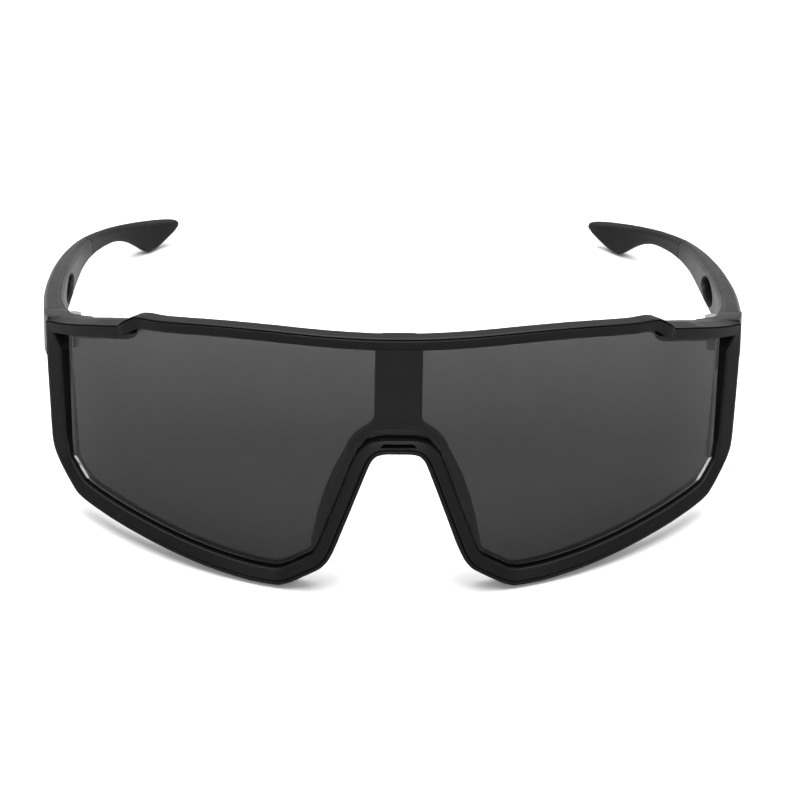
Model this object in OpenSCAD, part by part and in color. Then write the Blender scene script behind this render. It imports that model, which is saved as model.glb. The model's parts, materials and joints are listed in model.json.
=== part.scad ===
// Wraparound sport sunglasses, resting on the rim and on both ear lobes.
// Millimetres. The front looks along -Y, +X is the wearer's left, +Z is up.

/* [Front] */
// Arc from the middle to the outer edge of the rim, along the rim face
half_arc = 84.9; // [78:0.1:90]
// Height of the brow above the lowest point of the rim
front_height = 55.2; // [48:0.1:62]
// Radius of the upright cylinder that the lens front follows
lens_radius = 88; // [75:0.5:110]
// Lens thickness
lens_thickness = 2.0; // [1.6:0.1:2.4]
// How far the rim face stands in front of the lens
rim_proud = 1.6; // [1:0.1:2]
// How far the brow stands in front of the rim
brow_proud = 0.8; // [0.3:0.1:1.2]
// Width of the rim face
rim_width = 3.4; // [2.8:0.1:4]
// Height of the face of the brow
brow_face = 2.7; // [2.5:0.1:3.4]
// Angle of the front to the arms, top forward
front_tilt = 7; // [3:0.5:12]

/* [Nose] */
// Width of the clip slot in the bridge
slot_width = 7.4; // [6:0.1:8]
// Half width of the centre strip
strip_half = 4.65; // [3.8:0.05:5]
// Depth of the nose pads behind the bracket
pad_depth = 6.6; // [5:0.1:9]

/* [Hinges] */
// Length of the end piece behind the rim
end_length = 8.7; // [7.5:0.1:11]
// Radius of the knuckles
knuckle_r = 1.75; // [1.6:0.05:2]
// Radius of the screw shank
screw_r = 0.7; // [0.6:0.05:0.8]
// Clearance of the screw in the turning knuckle
screw_play = 0.05; // [0.02:0.01:0.08]
// Height of the knuckle stack
hinge_height = 7; // [6:0.1:7.6]

/* [Arms] */
// Length from the hinge joint to the tip
arm_length = 113; // [100:0.5:130]
// Height of the arm at the hinge
arm_height = 9; // [8.8:0.1:11]
// Depth of the ear lobe below the top edge
lobe_height = 7.8; // [6:0.1:10]
// Length of the open slot
window_length = 16; // [8:0.5:20]
// Height of the open slot
window_height = 5.4; // [4.2:0.1:5.6]
// Gap between the end piece and the arm
joint_gap = 0.3; // [0.3:0.05:0.5]

/* [Hidden] */

// ---- radii of the upright cylinders ----
RF = lens_radius + rim_proud;          // rim face
RL = lens_radius - lens_thickness;     // back of the lens
RB = RL - 1.8;                         // back of the rim
GF = lens_radius + 0.1;                // front wall of the groove
GB = RL - 0.1;                         // back wall of the groove
lens_gap = 0.5;                        // open line between the lens and the rim
lens_gap_nose = 0.2;                   // the same along the nose
lens_hold = 0.5;                       // reach of the rim's lip behind the lens

ks = half_arc / 84.9;
kh = front_height / 55.2;

// ---- outline of the front, right half, from the bridge round to the brow ----
// [arc, height, kind] kind 0 rim, 1 end bar, 2 brow, 3 vent at the end of the brow, 4 rim along the nose
half = [[0, 30.5, 4], [2.6, 30.5, 4], [4.4, 30.1, 4], [5.6, 28.9, 4], [6.4, 27.1, 4], [8.0, 22.8, 4],
    [9.7, 18.2, 4], [11.4, 13.7, 4], [13.1, 9.2, 4], [14.2, 6.9, 4], [15.6, 5.2, 0], [17.6, 3.9, 0],
    [19.8, 2.6, 0], [21.9, 1.4, 0], [24.2, 0.6, 0], [27, 0.65, 0], [30.5, 1.05, 0], [34.3, 1.55, 0],
    [39.4, 2.2, 0], [44.1, 3, 0], [48.3, 3.8, 0], [52.3, 4.65, 0], [56.2, 5.5, 0], [59.8, 6.3, 0],
    [63.4, 7.1, 0], [67.1, 7.9, 0], [70.6, 8.65, 0], [73.2, 9.25, 0], [74.8, 9.9, 0], [77.1, 12, 0],
    [79.4, 14.2, 0], [81.3, 16, 0], [82.4, 17.6, 0], [82.9, 19.6, 0], [83.1, 22.5, 0], [83.4, 26.5, 0],
    [83.8, 31, 0], [84.2, 35.5, 0], [84.6, 40, 0], [84.9, 45.8, 1], [79, 46.9, 1], [75.6, 47.6, 1],
    [72, 48.4, 1], [68.6, 49.2, 1], [65.4, 49.85, 1], [62.4, 50.45, 1], [60, 50.95, 1], [58.6, 51.4, 3],
    [56.6, 52.6, 3], [54.8, 53.55, 3], [53, 53.8, 3], [50.5, 54.05, 2], [46, 54.5, 2], [41, 55, 2],
    [35.5, 55.4, 2], [30, 55.6, 2], [25, 55.65, 2], [19.6, 55.55, 2], [14.5, 55.4, 2], [9.7, 55.3, 2],
    [5, 55.2, 2], [0, 55.2, 2]];
HN = len(half);
// whole ring, counter-clockwise seen from the front
ring = [for (i = [0:HN - 1]) [half[i][0] * ks, half[i][1] * kh, half[i][2]],
        for (i = [HN - 2:-1:1]) [-half[i][0] * ks, half[i][1] * kh, half[i][2]]];
RN = len(ring);
BRIDGE = ring[0][1];                   // lower edge of the bridge
SLOT_Z = BRIDGE + 1.8;                 // floor of the clip slot

function unit(v) = v / norm(v);
function left_of(v) = [-v[1], v[0]];
// inward mitre at point i of the ring
function mitre(i) =
    let (a = ring[(i + RN - 1) % RN], b = ring[i], c = ring[(i + 1) % RN],
         n1 = left_of(unit([b[0] - a[0], b[1] - a[1]])), n2 = left_of(unit([c[0] - b[0], c[1] - b[1]])),
         m = unit(n1 + n2))
    m / max(0.5, m * n1);
// [width of face, groove, lip, proud, front chamfer, back chamfer in, back chamfer along]
function kind(k) =
    k % 4 == 0 ? [rim_width, rim_width, rim_width + lens_gap + lens_hold, 0, 0.9, 0.6, 0.6] :
    k == 1 ? [2.9, 2.0, 4.0, 0, 0.5, 0.6, 0.6] :
    k == 2 ? [brow_face, brow_face - 1, brow_face + 0.9, brow_proud, 0.4, 1.2, RL - RB + 1] :
             [brow_face, brow_face - 1, brow_face, brow_proud * 0.6, 0.4, 1.0, RL - RB + 0.6];
// section of the ring at point i: [inward, radius]
function section(k) =
    let (q = kind(k), w = q[0], g = q[1], l = q[2], f = RF + q[3], c = q[4])
    [[q[5], RB], [0, RB + q[6]], [0, f - c], [c, f], [w - 0.3, f], [w, f - 0.3],
     [w, GF], [g, k % 4 == 0 ? (GF + GB) / 2 : GF - 0.02],
     [g, k % 4 == 0 ? GB : GB + 0.02], [l, GB],
     [l, k % 4 == 0 ? GB - 0.35 : RB + 0.3], [k % 4 == 0 ? rim_width / 2 : l - 0.3, RB]];
// a point on the wrapped front: arc, height, radius -> x, depth, height
function wrap(s, h, r) = let (a = s / RF * 180 / PI) [r * sin(a), RF - r * cos(a), h];
function at(i, u, r) = let (m = mitre(i)) wrap(ring[i][0] + m[0] * u, ring[i][1] + m[1] * u, r);

// ---- closed tube through rings of points ----
module tube(loops, closed = false) {
    n = len(loops); m = len(loops[0]);
    pts = [for (l = loops) for (p = l) p];
    last = closed ? n - 1 : n - 2;
    sides = [for (i = [0:last]) for (j = [0:m - 1])
        let (a = i * m + j, b = i * m + (j + 1) % m,
             c = ((i + 1) % n) * m + (j + 1) % m, d = ((i + 1) % n) * m + j)
        each [[a, b, c], [a, c, d]]];
    caps = closed ? [] : [[for (j = [m - 1:-1:0]) j], [for (j = [0:m - 1]) (n - 1) * m + j]];
    polyhedron(points = pts, faces = concat(sides, caps), convexity = 10);
}

// ---- frames: front (tilted) -> wearing frame -> resting on the floor ----
function to_wear(p) = [p[0], p[1] * cos(front_tilt) - p[2] * sin(front_tilt),
                       p[1] * sin(front_tilt) + p[2] * cos(front_tilt)];
CORNER = to_wear(wrap(ring[39][0], ring[39][1], RF));   // top outer corner of the rim face
ZT = CORNER[2] + 0.4;                                     // top of end pieces and arms
ZB = ZT - arm_height;
YJ = CORNER[1] + end_length;                              // rear face of the end piece
XJ = CORNER[0] + 1.35;
HX = CORNER[0] - 4.9;                                     // hinge axis
HY = YJ + joint_gap / 2;
HZ = ZB + 1 + hinge_height / 2;

// arm: [back from the joint, outer side out from the joint, bottom up from the arm bottom, thickness]
ka = arm_length / 113;
arm0 = [[0, 0, 0, 5.1], [3, 0.35, 0, 4.95], [9.5, 1.1, 0.1, 4.5], [19.5, 2.1, 0.3, 4.4], [31, 2.8, 0.5, 4.4],
    [44.5, 3.2, 0.8, 4.4], [54.5, 3.2, 1.5, 4.3], [64.5, 2.8, 2.5, 4.0], [72, 2.2, 3.2, 3.7], [78, 1.5, 3.7, 3.5],
    [83, 0.6, 4.2, 3.4], [88.5, -0.9, 4.8, 3.3], [94, -2.9, 5.2, 3.2], [97.5, -4.5, 5.3, 3.2],
    [100.3, -6.2, 4.6, 3.2], [103.2, -8.3, 3.3, 3.3], [105.6, -10.4, 2.0, 3.4], [107.1, -12.0, 1.2, 3.4],
    [108.2, -13.3, 1.3, 3.3], [109.9, -15.8, 2.9, 3.1], [111.3, -18.2, 4.7, 2.8], [112.3, -20.1, 6.4, 2.2],
    [112.7, -21.0, 7.4, 1.4]];
top0 = [for (i = [0:22]) i < 20 ? 0 : i == 20 ? 0.15 : i == 21 ? 0.55 : 0.8];
AN = len(arm0);
arm = [for (i = [0:AN - 1]) let (a = arm0[i])
    [a[0] * ka, a[1], i < 9 ? a[2] * (arm_height / 9) :
        arm_height - (9 - a[2]) * (i < 13 ? 1 : lobe_height / 7.8), a[3], top0[i]]];
function arm_xy(i) = [XJ + arm[i][1], YJ + joint_gap + arm[i][0]];
function arm_dir(i) = unit(arm_xy(min(AN - 1, i + 1)) - arm_xy(max(0, i - 1)));
function arm_in(i) = i == 0 ? [-1, 0] : left_of(arm_dir(i));
// section of the arm, shrunk by e on every side
function arm_loop(i, e) =
    let (o = arm_xy(i), n = arm_in(i), t = arm[i][3], zb = ZB + arm[i][2] + e, zt = ZT - arm[i][4] - e,
         c = min(0.6, t * 0.2, (zt - zb) * 0.3) * (e > 0 ? 0.6 : 1), a = e, b = t - e)
    [for (q = [[a, zb + c], [a, zt - c], [a + c, zt], [b - c, zt], [b, zt - c], [b, zb + c], [b - c, zb], [a + c, zb]])
        [o[0] + n[0] * q[0], o[1] + n[1] * q[0], q[1]]];
SEAM = 9;          // station where the rubber starts

// resting slope: rim bottom and lobes on the floor
LOW = [for (i = [0:RN - 1]) to_wear(wrap(ring[i][0], ring[i][1], RB + 0.6))];
lobe = [for (i = [13:AN - 1]) for (p = arm_loop(i, 0)) p];
function drop(p, t) = p[2] * cos(t) - p[1] * sin(t);
function low_slope(t) = min([for (p = LOW) drop(p, t)]) - min([for (p = lobe) drop(p, t)]);
function solve(a, b, n) = n == 0 ? (a + b) / 2 :
    let (m = (a + b) / 2) low_slope(m) > 0 ? solve(a, m, n - 1) : solve(m, b, n - 1);
SLOPE = solve(0, 40, 30);
function rest0(p) = [p[0], p[1] * cos(SLOPE) + p[2] * sin(SLOPE), drop(p, SLOPE)];
ys_front = [for (i = [0:RN - 1]) rest0(to_wear(wrap(ring[i][0], ring[i][1], RF - 0.9)))[1] - 0.85];
ys_back = [for (p = lobe) rest0(p)[1]];
Y0 = (min(ys_front) + max(ys_back)) / 2;
Z0 = min([for (p = lobe) rest0(p)[2]]);

module rest() translate([0, -Y0, -Z0]) rotate([-SLOPE, 0, 0]) children();
module front() rest() rotate([front_tilt, 0, 0]) children();
module side(s) rest() mirror([s < 0 ? 1 : 0, 0, 0]) children();

// ---- front frame ----
module end_block() {
    c = CORNER;
    translate([0, 0, ZB]) linear_extrude(arm_height) polygon([[c[0] - 0.35, c[1] + 0.6],
        [c[0] + 0.55, c[1] + end_length * 0.5], [XJ, YJ], [XJ - 5.1, YJ], [HX, YJ - 2.2],
        [HX - 1, YJ - 5.2], [HX - 1.4, c[1] + 1.6], [c[0] - 3.9, c[1] + 0.1]]);
}
module front_frame() color("#222426") {
    difference() {
        union() {
            front() tube([for (i = [0:RN - 1]) [for (q = section(ring[i][2])) at(i, q[0], q[1])]], true);
            side(1) end_block();
            side(-1) end_block();
        }
        front() translate([-slot_width / 2, -2, SLOT_Z]) cube([slot_width, 12, 0.8]);
        for (s = [-1, 1]) side(s) {
            translate([HX, HY, HZ - hinge_height / 2 - 0.3]) cylinder(r = knuckle_r + 0.32, h = hinge_height + 0.6, $fn = 48);
            translate([HX - 6, YJ - 0.6, HZ - hinge_height / 2 - 0.3]) cube([6, 3, hinge_height + 0.6]);
            translate([HX + 0.47, YJ - 5.03, HZ - hinge_height / 2 - 0.03]) cube([1.06, 6, hinge_height + 0.06]);
        }
    }
}

// ---- lens ----
function lens_off(k) = k == 0 ? rim_width + lens_gap : k == 4 ? rim_width + lens_gap_nose : k == 1 ? 2.25 : k == 2 ? brow_face - 0.75 : brow_face + 0.7;
lens_pt = [for (i = [0:HN - 1]) let (m = mitre(i), u = lens_off(ring[i][2])) [ring[i][0] + m[0] * u, ring[i][1] + m[1] * u]];
// lower edge runs up to the corner, upper edge comes back from it
lens_low = [for (i = [0:38]) lens_pt[i]];
lens_top = [for (i = [HN - 1:-1:39]) lens_pt[i]];
S_END = lens_pt[33][0];
cols = [for (i = [0:31]) if (i == 0 || lens_pt[i][0] > lens_pt[i - 1][0] + 0.2) lens_pt[i][0], S_END];
tops = [for (p = lens_top) if (p[0] < S_END - 0.3) p[0]];
function sorted(v) = len(v) < 2 ? v : let (m = v[floor(len(v) / 2)])
    concat(sorted([for (x = v) if (x < m) x]), [m], sorted([for (x = v) if (x > m) x]));
raw_cols = sorted(concat([0], cols, tops));
lens_cols = [for (i = [0:len(raw_cols) - 1]) if (i == 0 || raw_cols[i] - raw_cols[i - 1] > 0.25 || i == len(raw_cols) - 1) raw_cols[i]];
all_cols = [for (i = [len(lens_cols) - 1:-1:1]) -lens_cols[i], for (s = lens_cols) s];
low_table = [for (p = lens_low) [p[0], p[1]]];
top_table = [for (p = lens_top) [p[0], p[1]]];
module shield_lens() color("#55585c", 0.85) front() tube([for (s = all_cols)
    let (a = lookup(abs(s), low_table), b = lookup(abs(s), top_table))
    [wrap(s, a, RL), wrap(s, a, lens_radius), wrap(s, b, lens_radius), wrap(s, b, RL)]]);

// ---- nose bracket and pads ----
pad_thick = 1.2;       // the pad is a slab along the inner face of the leg
pad_clear = 0.2;
leg_thick = 1.4;
leg_depth = 4.4;
leg_low = 7.5;
leg_top = 31;
pad_top = 28.6;
// height -> inner x of the pad, and its splay over its depth
pad_inner = [[7.5, 13.3], [9.5, 12.5], [13, 11.2], [18, 9.4], [23, 7.7], [27.5, 6.2], [31, 5.1]];
pad_splay = [[7.5, 0.9], [9.5, 1.2], [13, 2.3], [18, 3.1], [23, 3.0], [27.5, 2.0], [31, 0.6]];
// stations [height, inner x, splay] from the bottom up
function rungs(top) = [for (i = [0:20]) let (h = leg_low + (top - leg_low) * i / 20)
    [h, lookup(h, pad_inner), lookup(h, pad_splay)]];
legs = rungs(leg_top);
pads = rungs(pad_top);
function behind(x) = RF - sqrt(pow(RB - 0.15, 2) - x * x);   // just behind the rim
function leg_x(p) = p[1] + pad_thick + pad_clear;
module leg(s) mirror([s < 0 ? 1 : 0, 0, 0]) tube([for (p = legs)
    let (x = leg_x(p), y0 = behind(x + leg_thick + 0.4), y1 = behind(x) + leg_depth, k = p[2] / pad_depth,
         a = behind(p[1] + pad_thick))
    [[x + k * (y0 - a), y0, p[0] * kh], [x + k * (y1 - a), y1, p[0] * kh],
     [x + k * (y1 - a) + leg_thick, y1, p[0] * kh], [x + leg_thick + 0.4, y0, p[0] * kh]]]);
module pad(s) mirror([s < 0 ? 1 : 0, 0, 0]) tube([for (i = [0:len(pads) - 1])
    let (p = pads[i], e = (i == 0 || i == len(pads) - 1) ? 0.4 : 0, a = behind(p[1] + pad_thick),
         y0 = a + 0.1 + e, y1 = a + pad_depth - e, x = p[1], k = p[2] / pad_depth)
    [[x + k * (y0 - a) + e, y0, p[0] * kh], [x + k * (y1 - a) + e, y1, p[0] * kh],
     [x + k * (y1 - a) + pad_thick, y1, p[0] * kh], [x + k * (y0 - a) + pad_thick, y0, p[0] * kh]]]);
module nose_bracket() color("#1c1d1f") front() {
    d0 = RF - RL + 0.25;
    d1 = behind(11.5) + 0.05;
    hb = BRIDGE + rim_width + lens_gap + lens_hold + 0.7;
    ht = front_height - 0.1 - brow_face - 0.9;
    translate([0, d1 + 2.5, 0]) rotate([90, 0, 0]) linear_extrude(2.5) polygon([
        [-strip_half, 46 * kh], [-strip_half, 36.4 * kh], [-6.2, 34.9 * kh], [-8.8, 32.8 * kh], [-10.9, 29.6 * kh],
        [-9.6, 29.4 * kh], [-7.4, 31.2 * kh], [-4.6, 32 * kh], [4.6, 32 * kh], [7.4, 31.2 * kh],
        [9.6, 29.4 * kh], [10.9, 29.6 * kh], [8.8, 32.8 * kh], [6.2, 34.9 * kh],
        [strip_half, 36.4 * kh], [strip_half, 46 * kh]]);
    translate([-strip_half, d0, hb]) cube([2 * strip_half, d1 + 0.6 - d0, ht - hb]);
    translate([-3.4, RF - RB + 0.1, 44 * kh]) cube([6.8, 1.4, ht + 2.4 - 44 * kh]);
    translate([-slot_width / 2 + 0.1, 1.4, SLOT_Z + 0.1]) cube([slot_width - 0.2, d1 + 1 - 1.4, 0.6]);
    leg(1);
    leg(-1);
}
module left_nose_pad() color("#2e3032") front() pad(1);
module right_nose_pad() color("#2e3032") front() pad(-1);

// ---- hinges ----
k1 = hinge_height * 0.32;
module knuckle(z0, h, bore) translate([HX, HY, z0]) difference() {
    cylinder(r = knuckle_r, h = h, $fn = 48);
    translate([0, 0, -1]) cylinder(r = bore, h = h + 2, $fn = 48);
}
module front_hinge(s) color("#9a9ea3") side(s) {
    z0 = HZ - hinge_height / 2;
    difference() {
        union() {
            for (z = [z0, z0 + hinge_height - k1]) translate([HX, HY, z]) cylinder(r = knuckle_r, h = k1, $fn = 48);
            for (z = [z0, z0 + hinge_height - k1]) translate([HX + 0.5, YJ - 2.6, z]) cube([1, 2.6 + joint_gap / 2, k1]);
            translate([HX + 0.5, YJ - 5, z0]) cube([1, 2.6, hinge_height]);
        }
        translate([HX, HY, z0 - 1]) cylinder(r = screw_r, h = k1 + 2, $fn = 48);
        translate([HX, HY, z0 + hinge_height - k1 - 1]) cylinder(r = screw_r + screw_play, h = k1 + 2, $fn = 48);
        translate([HX, HY, z0 + hinge_height - 0.9]) cylinder(r = 1.25, h = 2, $fn = 48);
    }
}
module temple_hinge(s) color("#9a9ea3") side(s) {
    z0 = HZ - hinge_height / 2 + k1 + 0.05;
    h = hinge_height - 2 * k1 - 0.1;
    difference() {
        union() {
            translate([HX, HY, z0]) cylinder(r = knuckle_r, h = h, $fn = 48);
            translate([HX + 0.9, YJ + joint_gap, z0]) cube([XJ - 3.8 - HX - 0.9, 1.5, h]);
            translate([XJ - 4.8, YJ + joint_gap, z0]) cube([1, 9.3, h]);
        }
        translate([HX, HY, z0 - 1]) cylinder(r = screw_r + screw_play, h = h + 2, $fn = 48);
    }
}
module hinge_screw(s) color("#b4b7bb") side(s) {
    z0 = HZ - hinge_height / 2;
    difference() {
        union() {
            translate([HX, HY, z0]) cylinder(r = screw_r, h = hinge_height - 0.5, $fn = 48);
            translate([HX, HY, z0 + hinge_height - 0.9]) cylinder(r = 1.2, h = 0.8, $fn = 48);
        }
        translate([HX - 2, HY - 0.15, z0 + hinge_height - 0.4]) cube([4, 0.3, 1]);
    }
}
module left_front_hinge() front_hinge(1);
module right_front_hinge() front_hinge(-1);
module left_temple_hinge() temple_hinge(1);
module right_temple_hinge() temple_hinge(-1);
module left_hinge_screw() hinge_screw(1);
module right_hinge_screw() hinge_screw(-1);

// ---- arms and socks ----
module arm_core(e) tube([for (i = [SEAM - 1:AN - 5]) arm_loop(i, e)]);
module temple_arm(s) color("#222426") side(s) {
    z0 = HZ - hinge_height / 2 + k1;
    difference() {
        union() {
            tube([for (i = [0:SEAM]) arm_loop(i, 0)]);
            arm_core(0.9);
        }
        translate([HX, HY, ZB - 1]) cylinder(r = knuckle_r + 0.35, h = arm_height + 2, $fn = 48);
        translate([HX, HY - 1, z0 - 0.05]) cube([XJ - 3.77 - HX, 10.7 + 0.03, hinge_height - 2 * k1 + 0.1]);
        w = window_length / 2 - window_height / 2;
        translate([XJ - 12, YJ + 42 * ka, (ZT + ZB) / 2 + 0.3]) rotate([90, 0, 90]) linear_extrude(30) {
            square([2 * w, window_height], center = true);
            translate([w, 0]) circle(r = window_height / 2, $fn = 48);
            translate([-w, 0]) circle(r = window_height / 2, $fn = 48);
        }
    }
}
module ear_sock(s) color("#2e3032") side(s) difference() {
    tube([for (i = [SEAM:AN - 1]) arm_loop(i, 0)]);
    arm_core(0.87);
}
module left_temple_arm() temple_arm(1);
module right_temple_arm() temple_arm(-1);
module left_ear_sock() ear_sock(1);
module right_ear_sock() ear_sock(-1);

front_frame();
shield_lens();
nose_bracket();
left_nose_pad();
right_nose_pad();
left_front_hinge();
right_front_hinge();
left_hinge_screw();
right_hinge_screw();
left_temple_arm();
right_temple_arm();
left_temple_hinge();
right_temple_hinge();
left_ear_sock();
right_ear_sock();
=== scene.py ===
"""Wraparound sport sunglasses: the finished pieces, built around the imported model."""

import json
import math

import bmesh
import bpy
from bpy.props import FloatProperty, FloatVectorProperty, PointerProperty
from mathutils import Matrix, Quaternion, Vector


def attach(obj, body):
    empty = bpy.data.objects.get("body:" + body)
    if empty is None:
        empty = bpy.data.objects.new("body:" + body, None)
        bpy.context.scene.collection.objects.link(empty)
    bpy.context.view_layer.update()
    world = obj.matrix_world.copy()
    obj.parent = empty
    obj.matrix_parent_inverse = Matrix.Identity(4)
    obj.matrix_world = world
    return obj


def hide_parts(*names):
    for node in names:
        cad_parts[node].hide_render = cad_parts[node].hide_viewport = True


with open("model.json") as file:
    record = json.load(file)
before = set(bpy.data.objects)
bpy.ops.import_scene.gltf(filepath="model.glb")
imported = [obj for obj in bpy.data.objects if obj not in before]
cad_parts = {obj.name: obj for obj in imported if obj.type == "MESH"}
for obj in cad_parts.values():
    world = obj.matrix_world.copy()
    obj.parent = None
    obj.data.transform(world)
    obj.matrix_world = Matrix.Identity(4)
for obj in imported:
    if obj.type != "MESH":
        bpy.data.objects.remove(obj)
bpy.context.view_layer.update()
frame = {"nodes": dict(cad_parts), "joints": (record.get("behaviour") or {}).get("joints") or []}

bl_info = {
    "name": "Wraparound sport sunglasses",
    "version": (1, 0, 0),
    "blender": (4, 5, 0),
    "location": "3D View > Sidebar > Eyewear",
    "description": "Shield lens in a full rim, nose bracket, folding arms with rubber ear ends",
    "category": "Add Mesh",
}

MM = 0.001
SIDES = {"left": 1, "right": -1}

# ---------------------------------------------------------------- settings


def length(name, text, mm):
    """A size that is shown and typed as a length."""
    return FloatProperty(name=name, description=text, default=mm * MM, unit="LENGTH", precision=5)


def angle(name, text, degrees):
    return FloatProperty(name=name, description=text, default=math.radians(degrees), unit="ROTATION")


def share(name, text, value):
    return FloatProperty(name=name, description=text, default=value, min=0, max=1, subtype="FACTOR")


def colour(name, text, rgb):
    return FloatVectorProperty(name=name, description=text, default=rgb, min=0, max=1, subtype="COLOR")


class FrontSizes(bpy.types.PropertyGroup):
    half_arc: length("Half arc", "Arc from the middle to the outer edge of the rim", 84.9)
    front_height: length("Front height", "Height of the brow above the lowest point of the rim", 55.2)
    lens_radius: length("Lens radius", "Radius of the cylinder that the lens follows", 88)
    lens_thickness: length("Lens thickness", "Thickness of the shield lens", 2.0)
    lens_edge: length("Lens edge", "Chamfer round the lens", 0.22)
    rim_proud: length("Rim depth", "How far the rim face stands in front of the lens", 1.6)
    brow_proud: length("Brow step", "How far the brow stands in front of the rim", 0.8)
    rim_width: length("Rim width", "Width of the rim face", 3.4)
    brow_face: length("Brow face", "Height of the face of the brow", 2.7)
    front_tilt: angle("Front tilt", "Angle of the front to the arms", 7)
    edge_round: length("Edge rounding", "Rounding of the moulded edges", 0.22)


class NoseSizes(bpy.types.PropertyGroup):
    slot_width: length("Slot width", "Width of the clip slot in the bridge", 7.4)
    strip_half: length("Strip half width", "Half width of the centre strip", 4.65)
    pad_depth: length("Pad depth", "Depth of the nose pads behind the bracket", 6.6)
    pad_thick: length("Pad thickness", "Thickness of the rubber pad", 1.2)
    leg_thick: length("Leg thickness", "Thickness of the bracket's legs", 2.1)


class ArmSizes(bpy.types.PropertyGroup):
    end_length: length("End piece", "Length of the end piece behind the rim", 8.7)
    arm_length: length("Arm length", "Length from the hinge joint to the tip", 113)
    arm_height: length("Arm height", "Height of the arm at the hinge", 9)
    lobe_height: length("Lobe height", "Depth of the ear lobe below the top edge", 7.8)
    window_length: length("Slot length", "Length of the open slot in the arm", 16)
    window_height: length("Slot height", "Height of the open slot in the arm", 5.4)
    joint_gap: length("Joint gap", "Gap between the end piece and the arm", 0.3)
    knuckle_r: length("Knuckle radius", "Radius of the hinge knuckles", 1.75)
    hinge_height: length("Hinge height", "Height of the knuckle stack", 7)
    seam_depth: length("Seam depth", "Depth of the groove where the rubber starts", 0.22)


class Finishes(bpy.types.PropertyGroup):
    nylon: colour("Nylon", "Colour of the moulded frame and arms", (0.0026, 0.0026, 0.0028))
    nylon_rough: share("Nylon roughness", "Roughness of the frame and arms", 0.46)
    bracket: colour("Bracket", "Colour of the nose bracket", (0.004, 0.004, 0.0043))
    rubber: colour("Rubber", "Colour of the pads and ear ends", (0.0034, 0.0034, 0.0037))
    rubber_rough: share("Rubber roughness", "Roughness of the pads and ear ends", 0.54)
    lens: colour("Lens tint", "Tint of the smoke lens", (0.078, 0.078, 0.0800))
    steel: colour("Steel", "Colour of the hinges", (0.045, 0.045, 0.048))
    floor: colour("Floor", "Colour of the floor", (0.86, 0.86, 0.86))


GROUPS = {
    "eyewear_front": FrontSizes,
    "eyewear_nose": NoseSizes,
    "eyewear_arms": ArmSizes,
    "eyewear_finishes": Finishes,
}


def settings(name):
    return getattr(bpy.context.scene, "eyewear_" + name)


# ---------------------------------------------------------------- outline of the front

# stretches of the outline, each with its (arc, height) points in mm: from the middle of the bridge down
# the nose, round the rim and back along the brow
OUTLINE = (
    ("bridge", ((0, 30.5), (2.6, 30.5), (4.3, 30.1))),
    ("nose", ((5.35, 28.9), (6.1, 27.1), (7.7, 22.8), (9.4, 18.2), (11.1, 13.7), (12.8, 9.2),
              (13.95, 6.9))),
    ("rim", ((15.4, 5.2), (17.5, 3.9), (19.8, 2.6), (21.9, 1.4), (24.2, 0.6), (27, 0.65), (30.5, 0.85),
             (34.3, 1.35), (39.4, 2.1), (44.1, 2.95), (48.3, 3.75), (52.3, 4.55), (56.2, 5.35), (59.8, 6.05),
             (63.4, 6.75), (67.1, 7.5), (70.6, 8.2), (73.4, 8.8), (75.6, 9.5), (78.3, 11.6), (80.9, 13.9))),
    ("side", ((82.9, 15.9), (84.1, 17.8), (84.5, 19.8), (84.7, 22.5), (84.9, 26.5), (85.15, 31),
              (85.35, 35.5), (85.5, 40))),
    ("bar", ((85.4, 45.8), (79, 46.9), (75.6, 47.6), (72, 48.4), (68.6, 49.2), (65.4, 49.85),
             (63, 50.35), (61.2, 50.75))),
    ("vent", ((60.1, 51.3), (58.2, 52.5), (56.4, 53.45), (54.4, 53.75))),
    ("brow", ((50.5, 54.05), (46, 54.5), (41, 55), (35.5, 55.4), (30, 55.6), (25, 55.65), (19.6, 55.55),
              (14.5, 55.4), (9.7, 55.3), (5, 55.2), (0, 55.2))),
)
ARC_0 = 84.9
HEIGHT_0 = 55.2
CORNER = 39                  # point of the outline at the upper outer corner
SIDE_ROW = 33                # point half way up the side
LENS_GAP = 0.5 * MM          # open line between the lens and the rim
LENS_GAP_NOSE = 0.2 * MM     # the same along the nose
LENS_HOLD = 0.5 * MM         # reach of the rim's lip behind the lens
SIDE_EXTRA = 1.5 * MM        # the rim is wider along the sides
SIDE_GAP = 1.1 * MM          # and so is the open line there
BEVEL_FALL = {"bar": 5.5, "brow": 0.9, "vent": 0.9}    # fall of the outer bevel over its width
RIM_FALL = 0.42              # and round the rest of the rim
LINE_WIDTH = 0.22 * MM       # fine line between the face and the bevel
LINE_DEPTH = 0.5 * MM        # and how deep it is cut
SLOT_HEIGHT = 0.8 * MM
SLOT_ABOVE = 1.8 * MM        # clip slot above the lower edge of the bridge
SLOT_DROP = 0.25 * MM        # the slot's lower edge sits this much below the tongue's place


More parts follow.
